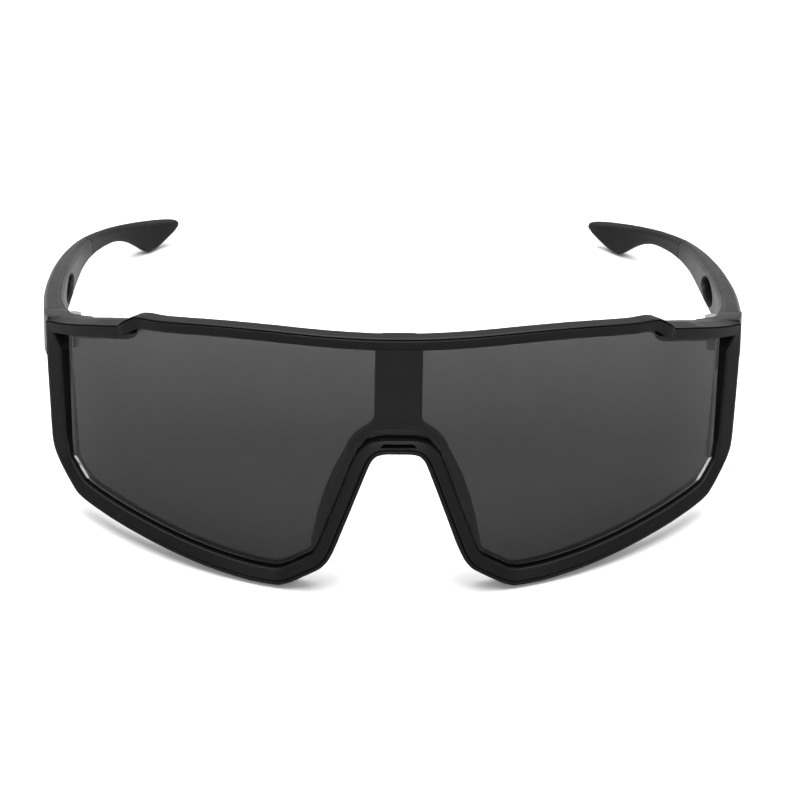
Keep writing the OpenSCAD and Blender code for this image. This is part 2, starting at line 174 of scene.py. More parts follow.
class Front:
    """Outline, radii and places of the front, in metres."""

    def __init__(self):
        s = settings("front")
        a = settings("arms")
        self.s = s
        self.RL = s.lens_radius - s.lens_thickness
        self.RF = s.lens_radius + s.rim_proud
        self.RB = self.RL - 1.8 * MM
        self.GF = s.lens_radius + 0.1 * MM
        self.GB = self.RL - 0.1 * MM
        wide = s.half_arc / ARC_0
        self.high = s.front_height / HEIGHT_0
        half = [(p[0] * wide, p[1] * self.high, kind) for kind, points in OUTLINE for p in points]
        self.half_count = len(half)
        self.ring = half + [(-p[0], p[1], p[2]) for p in half[-2:0:-1]]
        self.bridge = half[0][1]
        self.places(a)

    def places(self, a):
        h = self.ring[CORNER][1]
        tilt = Matrix.Rotation(self.s.front_tilt, 4, "X")
        corner = tilt @ self.wrap(self.s.half_arc, h, self.RF)
        self.corner = corner
        self.top = corner.z + 0.4 * MM
        self.bottom = self.top - a.arm_height
        self.joint_y = corner.y + a.end_length
        self.joint_x = corner.x + 1.35 * MM
        self.hinge = Vector((corner.x - 4.9 * MM, self.joint_y + a.joint_gap / 2,
                             self.bottom + 1 * MM + a.hinge_height / 2))
        joint = next(j for j in frame["joints"] if j["name"] == "left_temple_fold")
        axis, pivot = Vector(joint["axis"]), Vector(joint["pos_m"])
        lean = Matrix.Rotation(-math.atan2(axis.y, axis.z), 4, "X")
        shift = pivot - lean @ self.hinge
        self.wear = Matrix.Translation((0, shift.y, shift.z)) @ lean
        self.front = self.wear @ tilt

    def wrap(self, s, h, r):
        a = s / self.RF
        return Vector((r * math.sin(a), self.RF - r * math.cos(a), h))

    def mitre(self, i):
        n = len(self.ring)
        a, b, c = (Vector(self.ring[(i + k) % n][:2]) for k in (-1, 0, 1))
        u, v = (b - a).normalized(), (c - b).normalized()
        n1, n2 = Vector((-u.y, u.x)), Vector((-v.y, v.x))
        m = (n1 + n2).normalized()
        return m / max(0.5, m.dot(n1))

    def inward(self, i, distance):
        m = self.mitre(i)
        return self.ring[i][0] + m.x * distance, self.ring[i][1] + m.y * distance

    def behind(self, x, clear=0.15 * MM):
        """Depth just behind the rim at that x."""
        return self.RF - math.sqrt((self.RB - clear) ** 2 - x * x)

    def section(self, kind):
        """Outline of the rim across its length: (inward, radius)."""
        s = self.s
        held = kind in ("bridge", "nose", "rim", "side")
        full = s.lens_radius - self.RB
        lip = s.rim_width + LENS_GAP + LENS_HOLD
        wide = s.rim_width + SIDE_EXTRA
        w, g, lip, proud, bevel, slope, back_in, back_up = {
            "bridge": (s.rim_width - 0.4 * MM, s.rim_width, lip, 0, 0.9 * MM, 0.2 * MM, 0.6 * MM, 0.6 * MM),
            "nose": (s.rim_width, s.rim_width, lip, 0, 0.9 * MM, 0.3 * MM, 0.6 * MM, 0.6 * MM),
            "rim": (s.rim_width, s.rim_width, lip, 0, 0.9 * MM, 0.75 * MM, 0.6 * MM, 0.6 * MM),
            "side": (wide, wide, lip + SIDE_EXTRA + 0.6 * MM, 0, 0.9 * MM, 0.75 * MM, 0.6 * MM, 0.6 * MM),
            "bar": (2.9 * MM, 2.0 * MM, 4.0 * MM, 0, 0.6 * MM, 0.12 * MM, 0.3 * MM, 0.4 * MM),
            "brow": (s.brow_face, s.brow_face - MM, s.brow_face + 0.9 * MM, s.brow_proud, 0.4 * MM, 0.5 * MM,
                     1.2 * MM, full - s.lens_thickness + 1.0 * MM),
            "vent": (s.brow_face, s.brow_face - MM, s.brow_face, s.brow_proud * 0.6, 0.4 * MM, 0.4 * MM,
                     1.0 * MM, full - s.lens_thickness + 0.6 * MM),
        }[kind]
        face = self.RF + proud
        edge = 0.3 * MM
        mid = (self.GF + self.GB) / 2
        line = LINE_WIDTH
        fall = bevel * BEVEL_FALL.get(kind, RIM_FALL)
        return [(back_in, self.RB), (0, self.RB + back_up), (0, face - fall),
                (bevel - line, face - line * 0.3),
                (bevel, face - LINE_DEPTH), (bevel + line, face), (w - edge, face - slope),
                (w, face - slope - edge * 0.7), (w, self.GF), (g, mid if held else self.GF - 0.02 * MM),
                (g, self.GB if held else self.GB + 0.02 * MM), (lip, self.GB),
                (lip, self.GB - 0.35 * MM if held else self.RB + edge),
                (s.rim_width / 2 if held else lip - edge, self.RB)]

    def lens_inset(self, kind):
        """How far the lens stays inside the outline."""
        s = self.s
        at_nose = s.rim_width + LENS_GAP_NOSE
        return {"bridge": at_nose, "nose": at_nose, "rim": s.rim_width + LENS_GAP,
                "side": s.rim_width + SIDE_EXTRA + SIDE_GAP, "bar": 2.25 * MM,
                "brow": s.brow_face - 0.75 * MM, "vent": s.brow_face + 0.4 * MM}[kind]


# ---------------------------------------------------------------- mesh helpers


def rounded(points, cut, most=0.35):
    """Each corner of a closed line of points becomes a short curve of three points."""
    out = []
    n = len(points)
    for i, p in enumerate(points):
        a, b = points[i - 1], points[(i + 1) % n]
        la, lb = (a - p).length, (b - p).length
        ends = [p + (q - p) * min(most, cut / max(d, 1e-9)) for q, d in ((a, la), (b, lb))]
        out += [ends[0], (ends[0] + 2 * p + ends[1]) / 4, ends[1]]
    return out


def round_loops(loops, lengths, cut, most=0.35):
    """Rounds the corners along a closed tube, given the steps between its loops."""
    out = []
    n = len(loops)
    for i, here in enumerate(loops):
        a, b = loops[i - 1], loops[(i + 1) % n]
        ta = min(most, cut / lengths[i - 1])
        tb = min(most, cut / lengths[i])
        first = [p + (q - p) * ta for p, q in zip(here, a)]
        last = [p + (q - p) * tb for p, q in zip(here, b)]
        out += [first, [(f + 2 * p + e) / 4 for f, p, e in zip(first, here, last)], last]
    return out


def refined(loops, step):
    """Splits the long stretches of a closed tube so that no step is longer than that."""
    out = []
    n = len(loops)
    for i in range(n):
        a, b = loops[i], loops[(i + 1) % n]
        longest = max((q - p).length for p, q in zip(a, b))
        k = max(1, math.ceil(longest / step))
        out += [[p.lerp(q, t / k) for p, q in zip(a, b)] for t in range(k)]
    return out


def tube(bm, loops, closed=False):
    """A skin over loops of points, closed on itself or capped at both ends."""
    rows = [[bm.verts.new(p) for p in loop] for loop in loops]
    n, m = len(rows), len(rows[0])
    for i in range(n if closed else n - 1):
        for j in range(m):
            a, b = rows[i], rows[(i + 1) % n]
            bm.faces.new((a[j], a[(j + 1) % m], b[(j + 1) % m], b[j]))
    if not closed:
        bm.faces.new(rows[0][::-1])
        bm.faces.new(rows[-1])


def prism(bm, outline, low, high, turn=None, round_by=0.0):
    """A straight block on a flat outline, with its edges rounded."""
    at = turn or (lambda p, z: Vector((p[0], p[1], z)))
    new = bmesh.new()
    lower = [new.verts.new(at(p, low)) for p in outline]
    upper = [new.verts.new(at(p, high)) for p in outline]
    n = len(outline)
    for i in range(n):
        new.faces.new((lower[i], lower[(i + 1) % n], upper[(i + 1) % n], upper[i]))
    new.faces.new(lower[::-1])
    new.faces.new(upper)
    bmesh.ops.recalc_face_normals(new, faces=new.faces)
    if round_by:
        hard = [e for e in new.edges if e.calc_face_angle(0) > math.radians(20)]
        bmesh.ops.bevel(new, geom=hard, offset=round_by, segments=3, profile=0.5, affect="EDGES",
                        clamp_overlap=True)
    joined = bpy.data.meshes.new("block")
    new.to_mesh(joined)
    new.free()
    bm.from_mesh(joined)
    bpy.data.meshes.remove(joined)


def upright(p, y):
    """Turns a flat outline up, so that a prism runs from front to back."""
    return Vector((p[0], y, p[1]))


def barrel(bm, centre, radius, low, high, sides=40):
    ring = [(centre.x + radius * math.cos(math.tau * i / sides),
             centre.y + radius * math.sin(math.tau * i / sides)) for i in range(sides)]
    prism(bm, ring, low, high)


def made(name, bm, matrix=None):
    """A new object from the mesh under construction."""
    bmesh.ops.recalc_face_normals(bm, faces=bm.faces)
    mesh = bpy.data.meshes.new(name)
    bm.to_mesh(mesh)
    bm.free()
    if matrix:
        mesh.transform(matrix)
        if matrix.determinant() < 0:
            mesh.flip_normals()
    obj = bpy.data.objects.new(name, mesh)
    bpy.context.scene.collection.objects.link(obj)
    return obj


def block(name, outline, low, high, matrix, **shape):
    """A prism as an object of its own."""
    bm = bmesh.new()
    prism(bm, outline, low, high, **shape)
    return made(name, bm, matrix)


def mirrored(matrix, side):
    return matrix @ Matrix.Diagonal((side, 1, 1, 1))


def carve(obj, other, operation):
    """Joins or cuts with another object, which goes."""
    mod = obj.modifiers.new(operation, "BOOLEAN")
    mod.operation, mod.object, mod.solver = operation, other, "EXACT"
    bpy.context.view_layer.update()
    graph = bpy.context.evaluated_depsgraph_get()
    mesh = bpy.data.meshes.new_from_object(obj.evaluated_get(graph))
    obj.modifiers.clear()
    old, obj.data = obj.data, mesh
    bpy.data.meshes.remove(old)
    bpy.data.objects.remove(other)
    if len(mesh.polygons) < 50:
        raise RuntimeError(f"{obj.name}: {operation} left {len(mesh.polygons)} faces")


def finished(obj, material, body, slot, *nodes, sharp=50):
    """Smooth shading with crisp edges, material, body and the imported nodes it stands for."""
    mesh = obj.data
    mesh.name = obj.name
    mesh.materials.clear()
    mesh.materials.append(material)
    mesh.shade_smooth()
    mesh.set_sharp_from_angle(angle=math.radians(sharp))
    normals = obj.modifiers.new("face normals", "WEIGHTED_NORMAL")
    normals.keep_sharp = True
    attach(obj, body)
    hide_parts(*nodes)
    return obj


# ---------------------------------------------------------------- shader groups and materials


def node(tree, kind, name=None, **inputs):
    n = tree.nodes.new("ShaderNode" + kind)
    if name:
        n.name = n.label = name
    for key, value in inputs.items():
        n.inputs[key.replace("_", " ")].default_value = value
    return n


def group(name, inputs, outputs):
    """An empty shader node group with named sockets."""
    tree = bpy.data.node_groups.new(name, "ShaderNodeTree")
    for label, value in inputs.items():
        s = tree.interface.new_socket(label, in_out="INPUT", socket_type="NodeSocketFloat")
        s.default_value = value
    for label, kind in outputs.items():
        tree.interface.new_socket(label, in_out="OUTPUT", socket_type=kind)
    return tree, tree.nodes.new("NodeGroupInput"), tree.nodes.new("NodeGroupOutput")


def math_node(tree, operation, a, b=None, third=None):
    n = tree.nodes.new("ShaderNodeMath")
    n.operation = operation
    for socket, value in zip(n.inputs, (a, b, third)):
        if value is None:
            continue
        if isinstance(value, (int, float)):
            socket.default_value = value
        else:
            tree.links.new(value, socket)
    return n.outputs[0]


def moulded_grain():
    """Fine spark-eroded texture of a moulded face, with slow changes of gloss."""
    found = bpy.data.node_groups.get("Moulded grain")
    if found:
        return found
    tree, start, end = group("Moulded grain", {"Grain size": 0.2, "Patch size": 9.0, "Patch strength": 0.08},
                             {"Height": "NodeSocketFloat", "Gloss change": "NodeSocketFloat"})
    place = node(tree, "TexCoord")
    fine = node(tree, "TexNoise", "grain", Detail=3.0, Roughness=0.6)
    cells = node(tree, "TexVoronoi", "pits")
    slow = node(tree, "TexNoise", "patches", Detail=2.0)
    per_metre = 1000.0
    for n, count, size in ((fine, per_metre, "Grain size"), (cells, per_metre * 0.6, "Grain size"),
                           (slow, per_metre, "Patch size")):
        tree.links.new(math_node(tree, "DIVIDE", count, start.outputs[size]), n.inputs["Scale"])
    for n in (fine, cells, slow):
        tree.links.new(place.outputs["Object"], n.inputs["Vector"])
    height = math_node(tree, "MULTIPLY_ADD", cells.outputs["Distance"], 0.5, fine.outputs[0])
    tree.links.new(height, end.inputs["Height"])
    centred = math_node(tree, "SUBTRACT", slow.outputs[0], 0.5)
    tree.links.new(math_node(tree, "MULTIPLY", centred, start.outputs["Patch strength"]),
                   end.inputs["Gloss change"])
    return tree


def edge_wear_and_sheen():
    """Mask that is 1 on sharp outer edges and 0 on flats; it lightens the edges partly as rubbed wear and
    partly as painted sheen.
    """
    found = bpy.data.node_groups.get("Edge wear and painted sheen")
    if found:
        return found
    tree, start, end = group("Edge wear and painted sheen", {"Reach": 0.06, "Break up": 0.5}, {"Mask": "NodeSocketFloat"})
    shape = node(tree, "NewGeometry")
    place = node(tree, "TexCoord")
    noise = node(tree, "TexNoise", "break up", Scale=420.0, Detail=4.0)
    tree.links.new(place.outputs["Object"], noise.inputs["Vector"])
    over = math_node(tree, "SUBTRACT", shape.outputs["Pointiness"], 0.5)
    level = math_node(tree, "DIVIDE", over, start.outputs["Reach"])
    ragged = math_node(tree, "MULTIPLY", noise.outputs[0], start.outputs["Break up"])
    mask = math_node(tree, "SUBTRACT", level, ragged)
    clean = tree.nodes.new("ShaderNodeClamp")
    tree.links.new(mask, clean.inputs[0])
    tree.links.new(clean.outputs[0], end.inputs["Mask"])
    return tree


def blank(name):
    mat = bpy.data.materials.new(name)
    mat.use_nodes = True
    tree = mat.node_tree
    shader = tree.nodes["Principled BSDF"]
    return mat, tree, shader


def use(tree, shared, **values):
    n = tree.nodes.new("ShaderNodeGroup")
    n.node_tree = shared
    for key, value in values.items():
        n.inputs[key.replace("_", " ")].default_value = value
    return n


def moulded(name, base, rough, grain=0.16, depth=0.006, wear_sheen_amount=0.5, specular=0.22):
    """Moulded plastic or rubber: fine grain, patchy gloss, and edges lightened partly as rubbed wear and
    partly as painted sheen.
    """
    mat, tree, shader = blank(name)
    texture = use(tree, moulded_grain(), Grain_size=grain, Patch_strength=0.10)
    edges = use(tree, edge_wear_and_sheen(), Reach=0.07, Break_up=0.6)
    shader.inputs["Specular IOR Level"].default_value = specular
    shader.inputs["IOR"].default_value = 1.5
    # Base colour lightened on sharp edges: partly rubbed wear, partly painted sheen standing in for edge
    # highlights.
    tint = tree.nodes.new("ShaderNodeMix")
    tint.data_type = "RGBA"
    tint.inputs["A"].default_value = (*base, 1)
    tint.inputs["B"].default_value = (*(min(1, c * 2.4 + 0.004) for c in base), 1)
    tree.links.new(math_node(tree, "MULTIPLY", edges.outputs["Mask"], wear_sheen_amount), tint.inputs["Factor"])
    tree.links.new(tint.outputs["Result"], shader.inputs["Base Color"])
    level = math_node(tree, "ADD", texture.outputs["Gloss change"], rough)
    polished = math_node(tree, "MULTIPLY", edges.outputs["Mask"], -0.12 * wear_sheen_amount)
    tree.links.new(math_node(tree, "ADD", level, polished), shader.inputs["Roughness"])
    bump = node(tree, "Bump", "grain", Strength=0.5, Distance=depth * MM)
    tree.links.new(texture.outputs["Height"], bump.inputs["Height"])
    tree.links.new(bump.outputs[0], shader.inputs["Normal"])
    return mat


def smoke_lens(name, tint):
    """Polished smoke polycarbonate."""
    mat, tree, shader = blank(name)
    shader.inputs["Transmission Weight"].default_value = 1.0
    shader.inputs["IOR"].default_value = 1.43
    place = node(tree, "TexCoord")
    cloud = node(tree, "TexNoise", "dye", Scale=35.0, Detail=2.0)
    dust = node(tree, "TexNoise", "dust", Scale=1600.0, Detail=2.0)
    tree.links.new(place.outputs["Object"], cloud.inputs["Vector"])
    tree.links.new(place.outputs["Object"], dust.inputs["Vector"])
    mix = tree.nodes.new("ShaderNodeMix")
    mix.data_type = "RGBA"
    mix.inputs["A"].default_value = (*(c * 0.97 for c in tint), 1)
    mix.inputs["B"].default_value = (*(c * 1.03 for c in tint), 1)
    tree.links.new(cloud.outputs[0], mix.inputs["Factor"])
    tree.links.new(mix.outputs["Result"], shader.inputs["Base Color"])
    film = math_node(tree, "MULTIPLY_ADD", dust.outputs[0], 0.03, 0.0)
    tree.links.new(film, shader.inputs["Roughness"])
    return mat


def brushed_steel(name, base, along=(1, 1, 14)):
    """Turned or drawn steel with fine lines."""
    mat, tree, shader = blank(name)
    shader.inputs["Metallic"].default_value = 1.0
    shader.inputs["Specular Tint"].default_value = (0.1, 0.1, 0.1, 1.0)
    place = node(tree, "TexCoord")
    stretch = tree.nodes.new("ShaderNodeMapping")
    stretch.inputs["Scale"].default_value = along
    lines = node(tree, "TexNoise", "lines", Scale=900.0, Detail=5.0)
    tree.links.new(place.outputs["Object"], stretch.inputs["Vector"])
    tree.links.new(stretch.outputs[0], lines.inputs["Vector"])
    mix = tree.nodes.new("ShaderNodeMix")
    mix.data_type = "RGBA"
    mix.inputs["A"].default_value = (*(c * 0.8 for c in base), 1)
    mix.inputs["B"].default_value = (*(c * 1.15 for c in base), 1)
    tree.links.new(lines.outputs[0], mix.inputs["Factor"])
    tree.links.new(mix.outputs["Result"], shader.inputs["Base Color"])
    tree.links.new(math_node(tree, "MULTIPLY_ADD", lines.outputs[0], 0.2, 0.22), shader.inputs["Roughness"])
    bump = node(tree, "Bump", "lines", Strength=0.3, Distance=0.004 * MM)
    tree.links.new(lines.outputs[0], bump.inputs["Height"])
    tree.links.new(bump.outputs[0], shader.inputs["Normal"])
    return mat


def material(name):
    """The named material, made when first asked for.

    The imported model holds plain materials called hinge_steel and screw_steel. They are found
    first, so brushed_steel isn't reached for those two names.
    """
    found = bpy.data.materials.get(name)
    if found:
        return found
    f = settings("finishes")
    if name == "satin_nylon":
        return moulded(name, f.nylon, f.nylon_rough)
    if name == "bracket_nylon":
        return moulded(name, f.bracket, f.nylon_rough + 0.1, wear_sheen_amount=0.2)
    if name == "soft_rubber":
        return moulded(name, f.rubber, f.rubber_rough, grain=0.1, depth=0.004, wear_sheen_amount=0.35)
    if name == "smoke_lens":
        return smoke_lens(name, f.lens)
    if name == "hinge_steel":
        return brushed_steel(name, f.steel)
    return brushed_steel(name, [c * 1.2 for c in f.steel], along=(6, 6, 1))


# ---------------------------------------------------------------- front frame


def rim_ring(front):
    """The rim and brow as one closed tube round the lens."""
    bm = bmesh.new()
    loops = []
    for i, (_, _, kind) in enumerate(front.ring):
        line = [Vector((*front.inward(i, u), r)) for u, r in front.section(kind)]
        loops.append(line)
    n = len(front.ring)
    steps = [(Vector(front.ring[(i + 1) % n][:2]) - Vector(front.ring[i][:2])).length for i in range(n)]
    loops = round_loops(loops, steps, 0.6 * MM)
    loops = refined(loops, 2.2 * MM)
    cut = front.s.edge_round
    loops = [rounded(loop, cut, most=0.3) for loop in loops]
    tube(bm, [[front.wrap(p.x, p.y, p.z) for p in loop] for loop in loops], closed=True)
    return made("front_frame_moulding", bm, front.front)


def end_piece(front, side):
    """Block behind the rim's upper corner that carries the hinge, with the fillet to the brow."""
    c = front.corner
    a = settings("arms")
    xj, yj = front.joint_x, front.joint_y
    inner = [(xj - 5.1 * MM, yj), (xj - 5.7 * MM, yj - 2.2 * MM), (xj - 6.4 * MM, yj - 5.1 * MM),
             (xj - 7.6 * MM, yj - 7.2 * MM)]
    outer = [(c.x + 0.55 * MM, c.y + a.end_length / 2), (xj, yj)]
    body = [(c.x - 0.35 * MM, c.y + 0.6 * MM)] + outer + inner + [(c.x - 3.9 * MM, c.y + 0.1 * MM)]
    fillet = [(xj - 9.1 * MM, yj - 9.1 * MM), (xj - 11.5 * MM, yj - 11.5 * MM),
              (xj - 11.8 * MM, yj - 12.7 * MM)]
    along_bar = [(xj - 8.1 * MM, yj - 11.3 * MM), (xj - 4.6 * MM, yj - 8.9 * MM)]
    cap = [(c.x - 0.6 * MM, c.y + 1.6 * MM)] + outer + inner + fillet + along_bar
    rise = 0.13

    def on_bar(p, z):
        up = max(0, xj - 5.1 * MM - p[0]) * rise
        return Vector((p[0], p[1], z + up))

    matrix = mirrored(front.wear, side)
    return [block("end_block", body, front.bottom, front.top, matrix, round_by=0.4 * MM),
            block("end_cap", cap, front.top - 2.2 * MM, front.top, matrix, turn=on_bar, round_by=0.25 * MM)]


def hinge_pocket(front, side):
    """Space for the knuckles and the tang."""
    a = settings("arms")
    h = front.hinge
    low, high = h.z - a.hinge_height / 2 - 0.3 * MM, h.z + a.hinge_height / 2 + 0.3 * MM
    matrix = mirrored(front.wear, side)
    yj = front.joint_y
    bm = bmesh.new()
    barrel(bm, h, a.knuckle_r + 0.32 * MM, low, high)
    left, right = h.x + 0.47 * MM, h.x + 1.53 * MM
    return [made("pocket", bm, matrix),
            block("pocket_side", [(h.x - 6 * MM, yj - 0.6 * MM), (h.x, yj - 0.6 * MM), (h.x, yj + 2.4 * MM),
                                  (h.x - 6 * MM, yj + 2.4 * MM)], low, high, matrix),
            block("pocket_tang", [(left, yj - 5.03 * MM), (right, yj - 5.03 * MM), (right, yj + MM),
                                  (left, yj + MM)],
                  h.z - a.hinge_height / 2 - 0.03 * MM, h.z + a.hinge_height / 2 + 0.03 * MM, matrix)]


class FrontFrame(bpy.types.Operator):
    """Rim, brow and end pieces as one moulding"""

    bl_idname = "eyewear.front_frame"
    bl_label = "Front frame"

    def execute(self, context):
        front = Front()
        obj = rim_ring(front)
        for side in SIDES.values():
            for part in end_piece(front, side):
                carve(obj, part, "UNION")
            for cutter in hinge_pocket(front, side):
                carve(obj, cutter, "DIFFERENCE")
        nose = settings("nose")
        half = nose.slot_width / 2
        low = front.bridge + SLOT_ABOVE - SLOT_DROP
        short = half - SLOT_HEIGHT
        slot = [(-half, low), (half, low), (short, low + SLOT_HEIGHT), (-short, low + SLOT_HEIGHT)]
        carve(obj, block("clip_slot", slot, -2 * MM, 10 * MM, front.front, turn=upright), "DIFFERENCE")
        finished(obj, material("satin_nylon"), "front", "frame", "front_frame")
        return {"FINISHED"}


# ---------------------------------------------------------------- lens


def span(table, s):
    """Height on a line of (arc, height) points sorted by arc."""
    if s <= table[0][0]:
        return table[0][1]
    for (a, x), (b, y) in zip(table, table[1:]):
        if s <= b:
            return x + (y - x) * (s - a) / (b - a)
    return table[-1][1]


class ShieldLens(bpy.types.Operator):
    """One piece wraparound lens, polished, with a chamfered edge"""

    bl_idname = "eyewear.shield_lens"
    bl_label = "Shield lens"

    def execute(self, context):
        front = Front()
        s = front.s
        last = front.half_count - 1
        points = [front.inward(i, front.lens_inset(front.ring[i][2])) for i in range(front.half_count)]
        lower = []
        for p in points[:CORNER]:
            if not lower or p[0] > lower[-1][0] + 0.02 * MM:
                lower.append(p)
        upper = [points[i] for i in range(last, CORNER - 1, -1)]
        end = points[SIDE_ROW][0]
        stops = sorted({0.0, end, *(p[0] for p in lower + upper if 0 < p[0] < end - 0.3 * MM)})
        arcs = [stops[0]]
        for a in stops[1:]:
            k = max(1, math.ceil((a - arcs[-1]) / (1.2 * MM)))
            start = arcs[-1]
            arcs += [start + (a - start) * t / k for t in range(1, k + 1)]
        edge = s.lens_edge
        thin = [end - edge * 0.7, end]
        arcs = [a for a in arcs if a < end - edge] + thin
        both = [-a for a in arcs[:0:-1]] + arcs
        rows = 14
        loops = []
        for arc in both:
            a, b = span(lower, abs(arc)), span(upper, abs(arc))
            e = edge if abs(arc) < end - 0.01 * MM else edge * 1.6
            slim = 0 if abs(arc) < end - 0.01 * MM else edge
            outer, inner = s.lens_radius - slim, front.RL + slim
            heights = [a + e + (b - a - 2 * e) * t / rows for t in range(rows + 1)]
            loop = [(h, outer) for h in heights] + [(b, outer - e + slim), (b, inner + e - slim)]
            loop += [(h, inner) for h in heights[::-1]] + [(a, inner + e - slim), (a, outer - e + slim)]
            loops.append([front.wrap(arc, h, r) for h, r in loop])
        bm = bmesh.new()
        tube(bm, loops)
        obj = made("shield_lens_polished", bm, front.front)
        finished(obj, material("smoke_lens"), "front", "lens", "shield_lens", sharp=30)
        return {"FINISHED"}


# ---------------------------------------------------------------- nose bracket and pads

LEG_LOW, LEG_TOP, PAD_TOP = 7.5, 31, 28.6
# height, inner x of the pad and its splay over its depth (mm)
NOSE_LINE = ((7.5, 13.3, 0.9), (9.5, 12.5, 1.2), (13, 11.2, 2.3), (18, 9.4, 3.1), (23, 7.7, 3.0),
             (27.5, 6.2, 2.0), (31, 5.1, 0.6))
PAD_CLEAR = 0.2 * MM
LEG_DEPTH = 4.4 * MM


def nose_at(height):
    inner = [(p[0], p[1]) for p in NOSE_LINE]
    splay = [(p[0], p[2]) for p in NOSE_LINE]
    return span(inner, height) * MM, span(splay, height) * MM


def nose_leg(front, side):
    n = settings("nose")
    loops = []
    steps = 28
    for i in range(steps + 1):
        h = LEG_LOW + (LEG_TOP - LEG_LOW) * i / steps
        inner, splay = nose_at(h)
        x = inner + n.pad_thick + PAD_CLEAR
        k = splay / n.pad_depth
        a = front.behind(inner + n.pad_thick)
        y0, y1 = front.behind(x + n.leg_thick + 0.4 * MM), front.behind(x) + LEG_DEPTH
        z = h * front.high
        corners = [(x + k * (y0 - a), y0), (x + k * (y1 - a), y1), (x + k * (y1 - a) + n.leg_thick, y1),
                   (x + n.leg_thick + 0.4 * MM, y0)]
        slim = 0.3 * MM if i in (0, steps) else 0
        mid = sum((Vector((*p, 0)) for p in corners), Vector()) / 4
        line = rounded([Vector((p[0], p[1], z)) for p in corners], 0.4 * MM)
        loops.append([p + (Vector((mid.x, mid.y, z)) - p).normalized() * slim for p in line])
    bm = bmesh.new()
    tube(bm, loops)
    return made("leg", bm, mirrored(front.front, side))


def nose_pad(front, side):
    """Soft pad: a slab with rounded edges and a slightly crowned face towards the nose."""
    n = settings("nose")
    steps = 30
    loops = []
    for i in range(steps + 1):
        h = LEG_LOW + (PAD_TOP - LEG_LOW) * i / steps
        inner, splay = nose_at(h)
        a = front.behind(inner + n.pad_thick)
        k = splay / n.pad_depth
        t = i / steps
        end = 1 - abs(2 * t - 1) ** 10
        reach = n.pad_depth * (0.80 + 0.20 * end)
        y0 = a + 0.1 * MM + (n.pad_depth - reach) * 0.6
        y1 = a + reach
        z = h * front.high
        thick = n.pad_thick * (0.45 + 0.55 * end)
        outer_x = inner + n.pad_thick
        line = []
        for share_y, cover in ((0, 0.35), (0.06, 0.8), (0.2, 1.0), (0.4, 1.08), (0.6, 1.1), (0.8, 1.02),
                               (0.94, 0.8), (1, 0.35)):
            y = y0 + (y1 - y0) * share_y
            line.append(Vector((outer_x + k * (y - a) - thick * cover, y, z)))
        for share_y in (0.97, 0.5, 0.03):
            y = y0 + (y1 - y0) * share_y
            line.append(Vector((outer_x + k * (y - a), y, z)))
        loops.append(line)
    bm = bmesh.new()
    tube(bm, loops)
    return made("pad", bm, mirrored(front.front, side))


class NoseBracket(bpy.types.Operator):
    """Centre strip behind the lens, arch, clip and the two legs"""

    bl_idname = "eyewear.nose_bracket"
    bl_label = "Nose bracket"

    def execute(self, context):
        front = Front()
        s, n = front.s, settings("nose")
        high = front.high
        half = n.strip_half
        near = front.RF - front.RL + 0.25 * MM
        far = front.behind(11.5 * MM) + 0.05 * MM
        low = front.bridge + s.rim_width + LENS_GAP + LENS_HOLD + 0.7 * MM
        top = s.front_height - 0.1 * MM - s.brow_face - 0.9 * MM
        right = [(half, 46), (half, 35.9), (half + 0.4 * MM, 35.0), (half + 1.5 * MM, 34.1), (7.9 * MM, 32.9),
                 (9.3 * MM, 31.4), (10.2 * MM, 29.7), (10.0 * MM, 28.8), (8.6 * MM, 29.4), (7.4 * MM, 31.2),
                 (4.6 * MM, 32)]
        right = [(x, h * high) for x, h in right]
        arch = right + [(-x, h) for x, h in right[::-1]]
        obj = block("nose_bracket_moulding", arch, far, far + 2.5 * MM, front.front, turn=upright,
                    round_by=0.35 * MM)

        def bar(name, half_width, y0, y1, z0, z1, soft):
            flat = [(-half_width, y0), (half_width, y0), (half_width, y1), (-half_width, y1)]
            return block(name, flat, z0, z1, front.front, round_by=soft)

        strip = bar("strip", half, near, far + 0.6 * MM, low, top, 0.3 * MM)
        back = front.RF - front.RB + 0.1 * MM
        tab = bar("tab", 3.4 * MM, back, back + 1.4 * MM, 44 * high, top + 2.4 * MM, 0.3 * MM)
        z = front.bridge + SLOT_ABOVE + 0.1 * MM
        w = n.slot_width / 2 - 0.1 * MM
        tongue = bar("tongue", w, 3.2 * MM, far + 1 * MM, z, z + 0.6 * MM, 0.12 * MM)
        for part in (strip, tab, tongue, nose_leg(front, 1), nose_leg(front, -1)):
            carve(obj, part, "UNION")
        finished(obj, material("bracket_nylon"), "front", "bracket", "nose_bracket")
        return {"FINISHED"}


class NosePads(bpy.types.Operator):
    """Rubber pads on the inner faces of the legs"""

    bl_idname = "eyewear.nose_pads"
    bl_label = "Nose pads"

    def execute(self, context):
        front = Front()
        for name, side in SIDES.items():
            obj = nose_pad(front, side)
            obj.name = f"{name}_nose_pad_rubber"
            finished(obj, material("soft_rubber"), "front", "rubber", f"{name}_nose_pad")
        return {"FINISHED"}


# ---------------------------------------------------------------- arms

